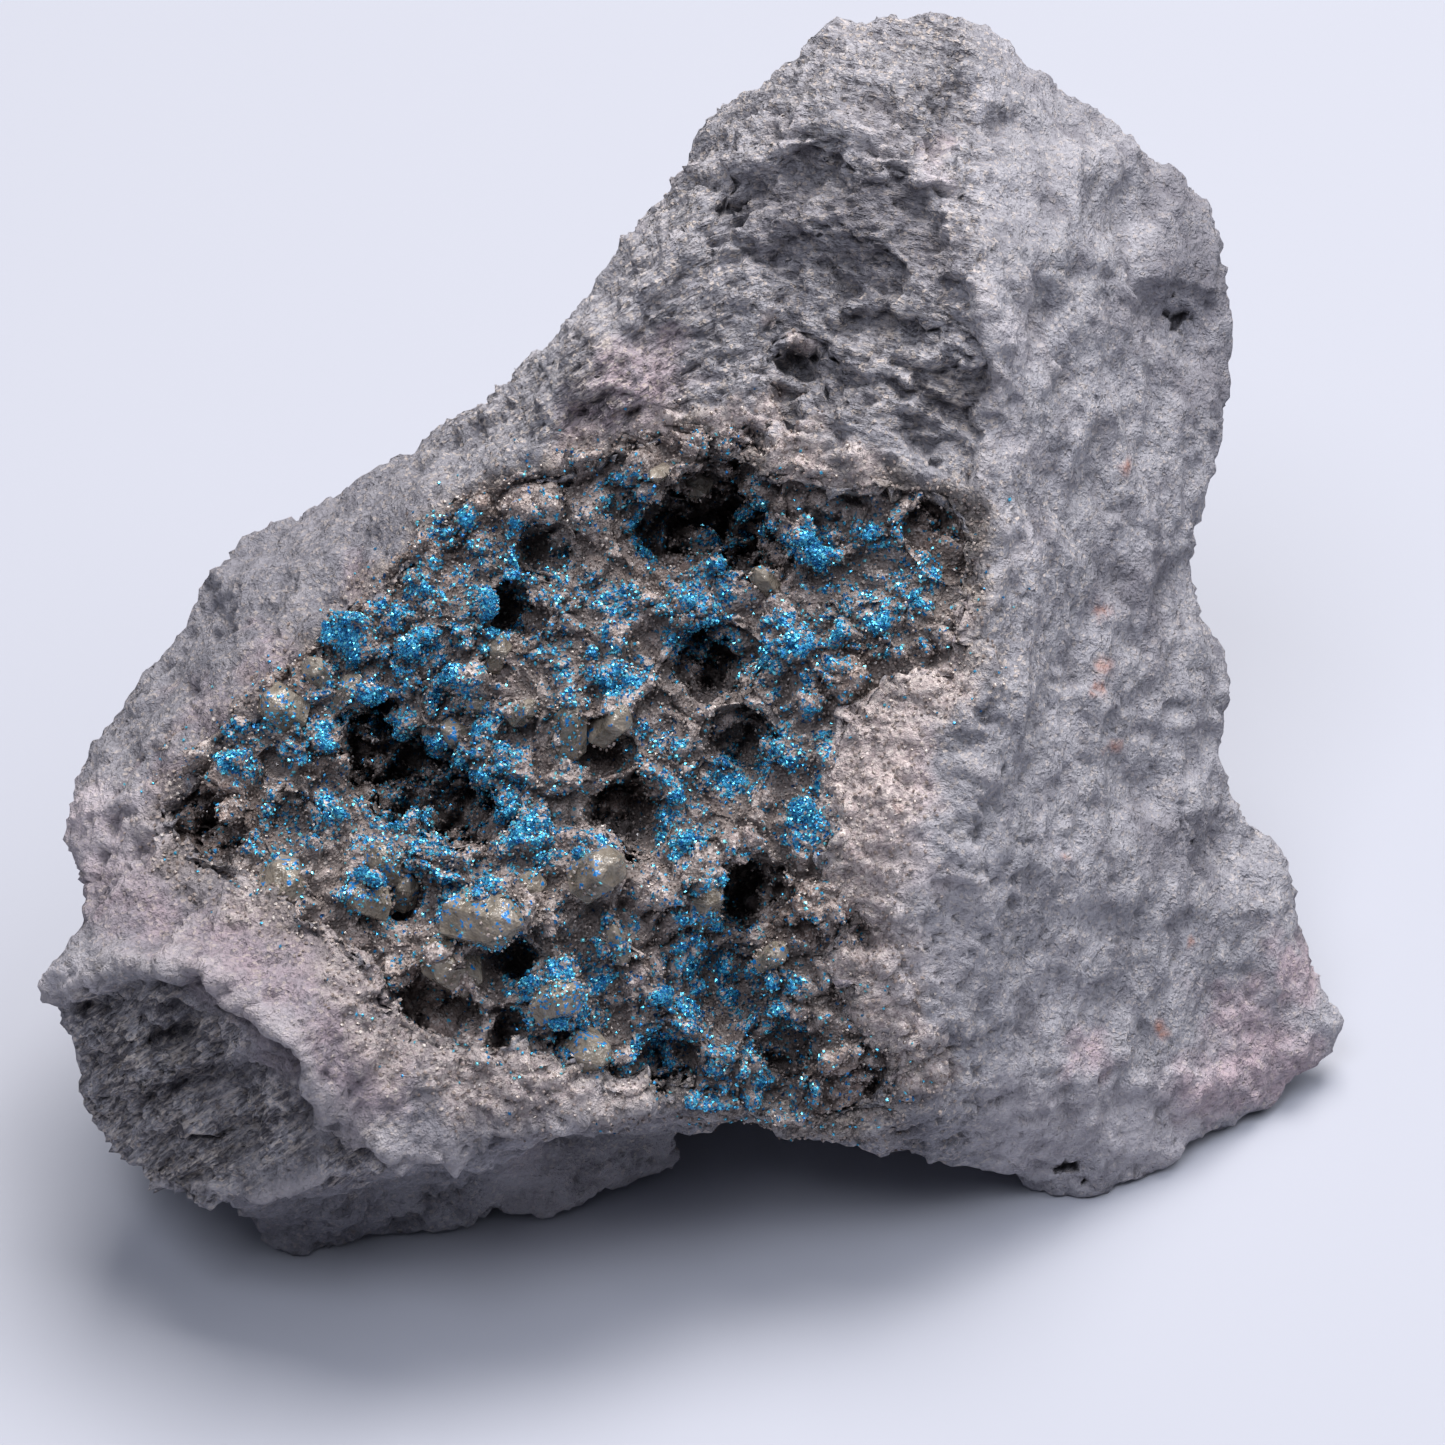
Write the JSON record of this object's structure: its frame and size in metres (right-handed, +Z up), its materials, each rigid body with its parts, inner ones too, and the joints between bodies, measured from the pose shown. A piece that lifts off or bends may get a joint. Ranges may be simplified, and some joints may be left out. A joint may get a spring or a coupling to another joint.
{
  "type": "copper sulphide specimen",
  "caption": "Broken lump of grey rock with an open hollow lined by a crust of small blue and brown crystals; it rests on worn feet.",
  "frame": {"origin": "middle of the footprint box, on the surface the lump rests on", "axes": "+Z up, +X along the longest side, -Y towards the viewer and the open hollow"},
  "size_m": [0.0682, 0.0518, 0.0523],
  "materials": {
    "grey_rock": "rough, dull, fibrous",
    "crystals": "small glittering faces"
  },
  "bodies": {
    "root": {"matrix": "grey_rock", "crystal_crust": "crystals"}
  },
  "joints": []
}
